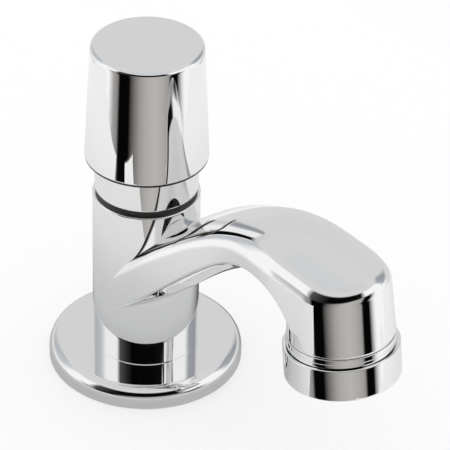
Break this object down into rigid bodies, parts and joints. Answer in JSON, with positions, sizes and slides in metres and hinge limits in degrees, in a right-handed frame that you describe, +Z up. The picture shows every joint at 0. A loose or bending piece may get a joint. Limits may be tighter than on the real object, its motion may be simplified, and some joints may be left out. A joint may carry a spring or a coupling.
{
  "type": "push timed tap",
  "caption": "Chrome single-hole basin tap with an arched spout arm, a round outlet head and a push cap that opens a slow-closing metering cartridge.",
  "frame": {"origin": "centre of the base at the deck face", "axes": "+Z up along the barrel, -Y towards the outlet, X across the spout arm"},
  "size_m": [0.077, 0.1644, 0.2013],
  "materials": {
    "chrome_plate": "polished",
    "turned_brass": "turned",
    "stainless": "bright",
    "black_rubber": "matt",
    "acetal": "satin"
  },
  "bodies": {
    "tap": {"body": "chrome_plate", "bonnet": "chrome_plate", "bonnet_gasket": "black_rubber", "stem_bush": "turned_brass", "stem_o_ring": "black_rubber", "cartridge_sleeve": "acetal", "sleeve_o_rings": "black_rubber", "valve_seat": "turned_brass", "seat_gasket": "black_rubber", "return_spring": "stainless", "inlet_strainer": "stainless", "shank": "turned_brass", "escutcheon": "chrome_plate", "base_gasket": "black_rubber", "deck_washer_rubber": "black_rubber", "deck_washer_steel": "stainless", "lock_nut": "turned_brass", "outlet_ring": "chrome_plate", "outlet_washer": "black_rubber", "flow_regulator": "acetal", "spray_disc": "stainless"},
    "plunger": {"push_cap": "chrome_plate", "cap_guide": "black_rubber", "cap_set_screw": "stainless", "plunger_stem": "turned_brass", "spring_cup": "stainless", "stem_circlip": "stainless", "timing_piston": "acetal", "piston_cup_seal": "black_rubber", "valve_washer": "black_rubber", "valve_washer_screw": "stainless"}
  },
  "joints": [
    {"name": "push", "type": "slide", "parent": "tap", "child": "plunger", "axis": [0, 0, -1], "range_m": [0, 0.008], "stiffness_N_per_m": 1200, "springref_m": -0.012, "deforming": ["return_spring"]}
  ]
}
